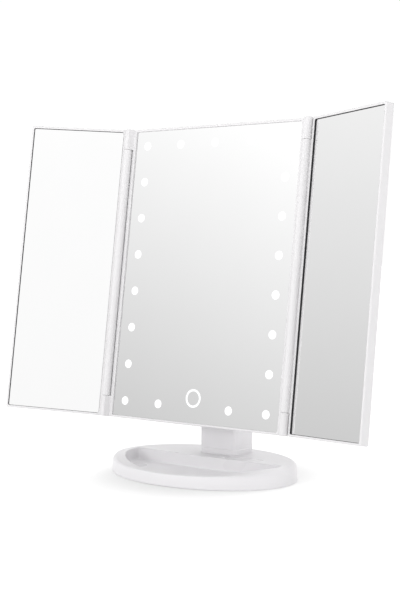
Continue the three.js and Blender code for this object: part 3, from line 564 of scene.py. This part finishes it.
def annulus(x, z, r0, r1, y0, y1, seg=72):
    prof = [(r0, y1), (r0, y0 + 0.03), (r0 + 0.05, y0), (r1 - 0.05, y0), (r1, y0 + 0.03), (r1, y1)]
    return lofted([[(x + r * math.cos(2 * math.pi * i / seg), y, z + r * math.sin(2 * math.pi * i / seg)) for i in range(seg)] for r, y in prof], closed=True)


piece("touch_ring", annulus(0, -97.4, 5.55, 7.2, -0.06, 0.3), HEAD, "head", LAMP, weighted=False, angle=60)

# rear cover: a shallow shell with the battery box standing out of it
CF, CB, BOXB = 8.3, 12.8, 26.6


def cover_ring(d, y, r=2.5):
    return [(px, y, pz) for px, pz in rounded(-HW + d, HW - d, -HH + d, HH - d, max(r - d * 0.5, 0.6), 10)]


def box_ring(d, y, r=4.0):
    return [(px, y, pz) for px, pz in rounded(-36 + d, 36 - d, -42 + d, 28 - d, max(r - d, 0.6), 10)]


rings = [cover_ring(2.0, 11.2), cover_ring(2.0, CF), cover_ring(0.3, CF), cover_ring(0.06, CF + 0.1), cover_ring(0.0, CF + 0.35)]
for t in (0, 15, 30, 45, 60, 75, 90):
    k = math.radians(t)
    rings.append(cover_ring(2.2 - 2.2 * math.cos(k), CB - 2.2 + 2.2 * math.sin(k)))
rings.append(cover_ring(2.6, CB))
rings.append(box_ring(-1.5, CB, 5.5))
for t in (0, 30, 60, 90):
    k = math.radians(t)
    rings.append(box_ring(-1.1 + 1.1 * math.sin(k), CB + 1.1 - 1.1 * math.cos(k), 4.4))
rings.append(box_ring(0.0, BOXB - 2.0))
for t in (15, 30, 45, 60, 75, 90):
    k = math.radians(t)
    rings.append(box_ring(2.0 - 2.0 * math.cos(k), BOXB - 2.0 + 2.0 * math.sin(k)))
rings.append(box_ring(2.3, BOXB))
outer = lofted(rings, caps=(True, True))
REAR_SCREWS = [(-76.5, 112), (76.5, 112), (-76.5, -112), (76.5, -112)]
LUG_SCREWS = [(-31.2, -71.1), (31.2, -71.1)]
ring_hole = lambda x, z, r, y0, y1: prism([(x + r * math.cos(2 * math.pi * i / 36), z + r * math.sin(2 * math.pi * i / 36)) for i in range(36)], y0, y1, "Y")
cuts = [ring_hole(x, z, 2.95, 10.95, 14) for x, z in REAR_SCREWS]
cuts.append(prism(rounded(-33.3, 33.3, -39.3, 40, 1.9, 6), 24.7, 30, "Y"))
cuts.append(prism(rounded(-30.5, 30.5, -36, 22.5, 0.6, 3), 11.4, 25, "Y"))
cuts.append(prism(rounded(58 - 2.2, 58 + 2.2, -24.7, -15.3, 0.8, 4), 11.0, 14, "Y"))
cuts.append(prism(rounded(58 - 4.4, 58 + 4.4, -62.0, -58.0, 1.4, 5), 10.9, 14, "Y"))
piece("centre_rear_cover_visual", outer, HEAD, "head", WHITE_REAR_PAINTED_SHADE, ("centre_rear_cover",), angle=38, cuts=cuts)

ribs = [prism(rounded(-12 + k, 12 - k, -33 + k * 2.4, -31.9 + k * 2.4, 0.5, 4), BOXB - 0.1, BOXB + 0.6, "Y", bevel=0.25, seg=3) for k in range(5)]
door = merged(prism(rounded(-33, 33, -39, 25.5, 1.6, 6), 25.0, BOXB, "Y", bevel=0.35, seg=3), *ribs)
piece("battery_door_visual", door, HEAD, "battery_door", WHITE_REAR_PAINTED_SHADE, ("battery_door",))

for k, (x, z) in enumerate(REAR_SCREWS, 1):
    shape = along_y([(0, 5.2), (1.0, 5.2), (1.0, 11.2), (2.5, 11.25), (2.5, 12.0), (2.35, 12.25), (1.7, 12.45), (0, 12.55)], 36, x, z)
    piece("rear_screw_%d_visual" % k, shape, HEAD, "head", STEEL, ("rear_screw_%d" % k,), angle=40, cuts=cross_cutters(x, z, 11.7, 12.8))
knob = [prism(rounded(56.2, 59.8, -19.7, -15.7, 0.4, 4), 11.2, 13.4, "Y", bevel=0.25, seg=3)]
knob += [prism(rounded(56.35, 59.65, -20 + a, -20 + a + 0.7, 0.25, 3), 13.3, 14.0, "Y", bevel=0.2, seg=3) for a in (0.7, 1.95, 3.2)]
piece("power_switch_knob_visual", merged(*knob), HEAD, "power_switch_knob", BLACK, ("power_switch_knob",))

# ------------------------------------------------------------------ tilt pivot
PY = (29.5 - 1.2) * math.cos(TILT) - (82.0 - 157.9) * math.sin(TILT)
PZ = (29.5 - 1.2) * math.sin(TILT) + (82.0 - 157.9) * math.cos(TILT)


def lug_outline(R=11.0):
    y0 = CB + 0.3

    def touch(p, sign):
        d = math.hypot(PY - p[0], PZ - p[1])
        return math.atan2(p[1] - PZ, p[0] - PY) + sign * math.acos(R / d)

    low, high = (y0, -95.0), (y0, -47.5)
    a0, a1 = touch(low, 1), touch(high, -1)
    span = (a1 - a0) % (2 * math.pi)
    return [low] + [(PY + R * math.cos(a0 + span * i / 40), PZ + R * math.sin(a0 + span * i / 40)) for i in range(41)] + [high]


for name, s in (("left", -1), ("right", 1)):
    a, b = sorted((s * 19.2, s * 26.2))
    lug = prism(lug_outline(), a, b, "X", bevel=1.0, seg=4)
    f0, f1 = sorted((s * 25.2, s * 35.7))
    flange = prism(rounded(f0, f1, -88, -54, 2.2, 6), CB + 0.3, CB + 2.8, "Y", bevel=0.5, seg=3)
    sunk = along_x([(0, 0), (6.7, 0), (6.7, 8), (0, 8)], 48, PY, PZ, s * 22.2, flip=s < 0)
    piece("pivot_lug_%s_visual" % name, merged(lug, flange), HEAD, "head", WHITE_HEAD_PAINTED_SHADE, ("pivot_lug_" + name,), angle=38)
    cap = along_x([(0, 0.3), (9.2, 0.3), (9.2, 0.9), (9.05, 1.25), (8.6, 1.5), (7.6, 1.6), (7.3, 1.45), (7.0, 1.55), (4.0, 1.68), (0, 1.7)], 64, PY, PZ, s * 26.2, flip=s < 0)
    piece("pivot_cap_%s_visual" % name, cap, HEAD, "head", SATIN, ("pivot_cap_" + name,), angle=50)
    x = s * 31.2
    shape = along_y([(0, 8.6), (1.0, 8.6), (1.0, 15.9), (2.6, 15.95), (2.6, 16.6), (2.4, 16.95), (1.7, 17.15), (0, 17.25)], 36, x, -71.1)
    piece("lug_screw_%s_visual" % name, shape, HEAD, "head", STEEL, ("lug_screw_" + name,), angle=40, cuts=cross_cutters(x, -71.1, 16.4, 17.6))


# ------------------------------------------------------------------ wings
def wing(side_name, place, s):
    flip = Matrix.Scale(s, 4, (1, 0, 0))
    where = place @ flip
    inner, outer, top = 3.7, 1.6, 1.8
    prof = frame_profile(WING_F, WING_B, inner, outer, top, WING_F + 4.2, 7.0, fillet=0.7, hinge=1.8)
    prof = prof[:-2] + [(inner + 0.3, outer + 0.3, top + 0.3, WING_F + 5.1), (inner, outer, top, WING_B)]
    ring = frame_ring(1.6, WING_W, -HH, HH, 1.4, 1.2, prof)
    e = 0.4
    end = KNUCKLE - 0.15
    barrel = lathe([(0, -end), (BAR_R - e, -end), (BAR_R - 0.12, -end + 0.1), (BAR_R, -end + e), (BAR_R, end - e), (BAR_R - 0.12, end - 0.1), (BAR_R - e, end), (0, end)], 56)
    piece(side_name + "_wing_frame_visual", merged(ring, barrel), where, side_name + "_wing", WHITE_HEAD_PAINTED_SHADE, (side_name + "_wing_frame",), angle=40,
          cuts=[prism([(3.85 * math.cos(2 * math.pi * i / 48), 3.85 * math.sin(2 * math.pi * i / 48)) for i in range(48)], a, b, "Z") for a, b in ((end + 0.01, 125), (-125, -end - 0.01))])
    x0, x1 = 1.6 + inner, WING_W - outer
    y = WING_F - RIM
    piece(side_name + "_wing_mirror_visual", pane(x0 + 0.2, x1 - 0.2, -gz + 0.2, gz - 0.2, y, arris=0.06), where, side_name + "_wing", MIRROR, (side_name + "_wing_mirror",), weighted=False, angle=20)
    piece(side_name + "_wing_mirror_seal", seal(x0, x1, -gz, gz, WING_F, y, 2.75), where, side_name + "_wing", DARK, (side_name + "_wing_mirror_tape",))
    rear = prism(rounded(x0 + 0.3, x1 - 0.3, -gz + 0.3, gz - 0.3, 1.0, 6), WING_B - 1.6, WING_B, "Y", bevel=0.3, seg=3)
    piece(side_name + "_wing_rear_cover_visual", rear, where, side_name + "_wing", WHITE_REAR_PAINTED_SHADE, (side_name + "_wing_rear_cover",))


wing("left", LEFT, -1)
wing("right", RIGHT, 1)

# ------------------------------------------------------------------ inner pieces that keep their drawn shape
LOOKS = {
    "base_ballast_plate": STEEL, "neck_bolt": STEEL, "led_board": BOARD, "touch_sensor_pad": COPPER, "control_board": GREEN, "usb_socket": PLATED,
    "power_switch_body": BLACK, "battery_contact_lower": PLATED, "battery_contact_upper": PLATED, "battery_lead": WIRE, "usb_lead": BLACK,
    "friction_washer_left": NYLON, "friction_washer_right": NYLON, "tilt_bolt": STEEL, "disc_spring_washer": PLATED, "tilt_nut": PLATED,
}
LOOKS.update({"battery_%d" % i: JACKET for i in range(1, 5)})
LOOKS.update({"%s_hinge_pin_%s" % (a, b): STEEL for a in ("left", "right") for b in ("upper", "lower")})
for name, mat in LOOKS.items():
    o = nodes[name]
    o.data.materials.clear()
    o.data.materials.append(mat)

# ------------------------------------------------------------------ floor, light, surroundings
bm = bmesh.new()
R = 9.0
centre = bm.verts.new((0, 0, 0))
rim = [bm.verts.new((R * math.cos(2 * math.pi * i / 96), R * math.sin(2 * math.pi * i / 96), 0)) for i in range(96)]
for i in range(96):
    bm.faces.new((centre, rim[i], rim[(i + 1) % 96]))
mesh = bpy.data.meshes.new("floor")
bm.to_mesh(mesh)
bm.free()
floor = bpy.data.objects.new("floor", mesh)
bpy.context.scene.collection.objects.link(floor)
fmat, nt, sh, co = node_material("pale_floor_painted_contact_shadow")
nt.links.new(ramp(nt, noise(nt, co, 3.0), [(0.3, (0.41, 0.41, 0.41)), (0.7, (0.43, 0.43, 0.43))]), sh.inputs["Base Color"])
sh.inputs["Roughness"].default_value = 0.9
sh.inputs["Specular IOR Level"].default_value = 0.1
sh.inputs["Emission Color"].default_value = (1.0, 1.0, 1.0, 1.0)
# The floor's glow carries painted light: it is cut to about half right around the base as a painted contact shadow, and
# raised further out, where it keeps the floor evenly white as the lamps fall off.
far = nt.nodes.new("ShaderNodeVectorMath")
far.operation = "LENGTH"
nt.links.new(co, far.inputs[0])
floor_glow_painted_shadow = nt.nodes.new("ShaderNodeMath")
floor_glow_painted_shadow.operation = "MULTIPLY"
nt.links.new(spread(nt, far.outputs["Value"], 0.7, 0.86, 0.5, 1.8), floor_glow_painted_shadow.inputs[0])
nt.links.new(spread(nt, far.outputs["Value"], 0.54, 1.0, 0.055, 0.107), floor_glow_painted_shadow.inputs[1])
nt.links.new(floor_glow_painted_shadow.outputs[0], sh.inputs["Emission Strength"])
mesh.materials.append(fmat)

world = bpy.data.worlds.new("studio")
bpy.context.scene.world = world
world.use_nodes = True
nt = world.node_tree
nt.nodes.clear()
out = nt.nodes.new("ShaderNodeOutputWorld")
bg = nt.nodes.new("ShaderNodeBackground")
nt.links.new(bg.outputs[0], out.inputs[0])
tc = nt.nodes.new("ShaderNodeTexCoord")
sep = nt.nodes.new("ShaderNodeSeparateXYZ")
nt.links.new(tc.outputs["Generated"], sep.inputs[0])


def math_node(op, a, b=None, c=None, clamp=False):
    m = nt.nodes.new("ShaderNodeMath")
    m.operation = op
    m.use_clamp = clamp
    for k, v in enumerate((a, b, c)):
        if v is None:
            continue
        if isinstance(v, (int, float)):
            m.inputs[k].default_value = v
        else:
            nt.links.new(v, m.inputs[k])
    return m.outputs[0]


X, Y, Z = sep.outputs
flat = math_node("SQRT", math_node("ADD", math_node("MULTIPLY", X, X), math_node("MULTIPLY", Y, Y)))
dx = math_node("DIVIDE", X, math_node("MAXIMUM", flat, 0.001))


def zone(a, b, c, d, lo, hi):
    """a + b sin(elevation) + c bearing + d sin(elevation) * bearing, held between two values."""
    v = math_node("ADD", math_node("ADD", math_node("MULTIPLY", Z, b), a), math_node("ADD", math_node("MULTIPLY", dx, c), math_node("MULTIPLY", math_node("MULTIPLY", Z, dx), d)))
    return math_node("MINIMUM", math_node("MAXIMUM", v, lo), hi)


def smooth(v, a, b):
    m = nt.nodes.new("ShaderNodeMapRange")
    m.interpolation_type = "SMOOTHSTEP"
    m.inputs["From Min"].default_value = a
    m.inputs["From Max"].default_value = b
    nt.links.new(v, m.inputs["Value"])
    return m.outputs[0]


def mix(a, b, t):
    return math_node("ADD", a, math_node("MULTIPLY", math_node("SUBTRACT", b, a), t))


ZC = (0.874, 1.70, 0.55, 0.2)
ZR = (0.625, 1.01, 0.0, 0.0)
ZL = (0.962, 0.18, 0.0, 0.0)
centre_zone = zone(*ZC, 0.5, 1.05)
right_zone = zone(*ZR, 0.5, 1.0)
left_zone = zone(*ZL, 0.85, 1.05)
value = mix(right_zone, centre_zone, smooth(dx, -0.84, -0.72))
value = mix(value, left_zone, smooth(dx, -0.45, -0.15))
SIDE_SKY, FRONT_SKY, BACK_SKY = 0.8, 0.15, 0.85
value = mix(value, 1.02, smooth(Y, -0.15, 0.25))
value = mix(value, SIDE_SKY, math_node("MULTIPLY", smooth(dx, 0.55, 0.8), smooth(Y, 0.25, 0.0)))
value = mix(value, mix(FRONT_SKY, BACK_SKY, smooth(Y, -0.2, 0.2)), smooth(Z, 0.42, 0.62))
value = mix(0.95, value, smooth(Z, -0.2, 0.0))
nt.links.new(value, bg.inputs["Color"])
bg.inputs["Strength"].default_value = 1.0


def area(name, at, to, size, power, glossy=True):
    light = bpy.data.lights.new(name, "AREA")
    light.shape = "RECTANGLE"
    light.size, light.size_y = size
    light.energy = power
    o = bpy.data.objects.new(name, light)
    bpy.context.scene.collection.objects.link(o)
    o.location = at
    o.rotation_mode = "QUATERNION"
    o.rotation_quaternion = (Vector(to) - Vector(at)).to_track_quat("-Z", "Y")
    o.visible_glossy = glossy
    o.visible_camera = False
    return o


area("front_light", (0.1, -1.7, 0.4), (0, 0, 0.08), (0.9, 0.5), 6.4, glossy=False)
area("front_top_light", (0.35, -1.1, 1.45), (0, 0, 0.1), (0.8, 0.8), 10.5, glossy=False)
area("right_light", (1.5, -0.3, 0.75), (0, 0, 0.1), (0.8, 0.8), 3.4, glossy=False)
area("left_light", (-1.3, -0.8, 0.75), (0, 0, 0.1), (0.8, 0.8), 4.4, glossy=False)
area("rear_top_light", (0.0, 1.4, 1.1), (0, 0, 0.05), (1.2, 0.8), 8.0, glossy=False)

scene = bpy.context.scene
scene.view_settings.view_transform = "Standard"
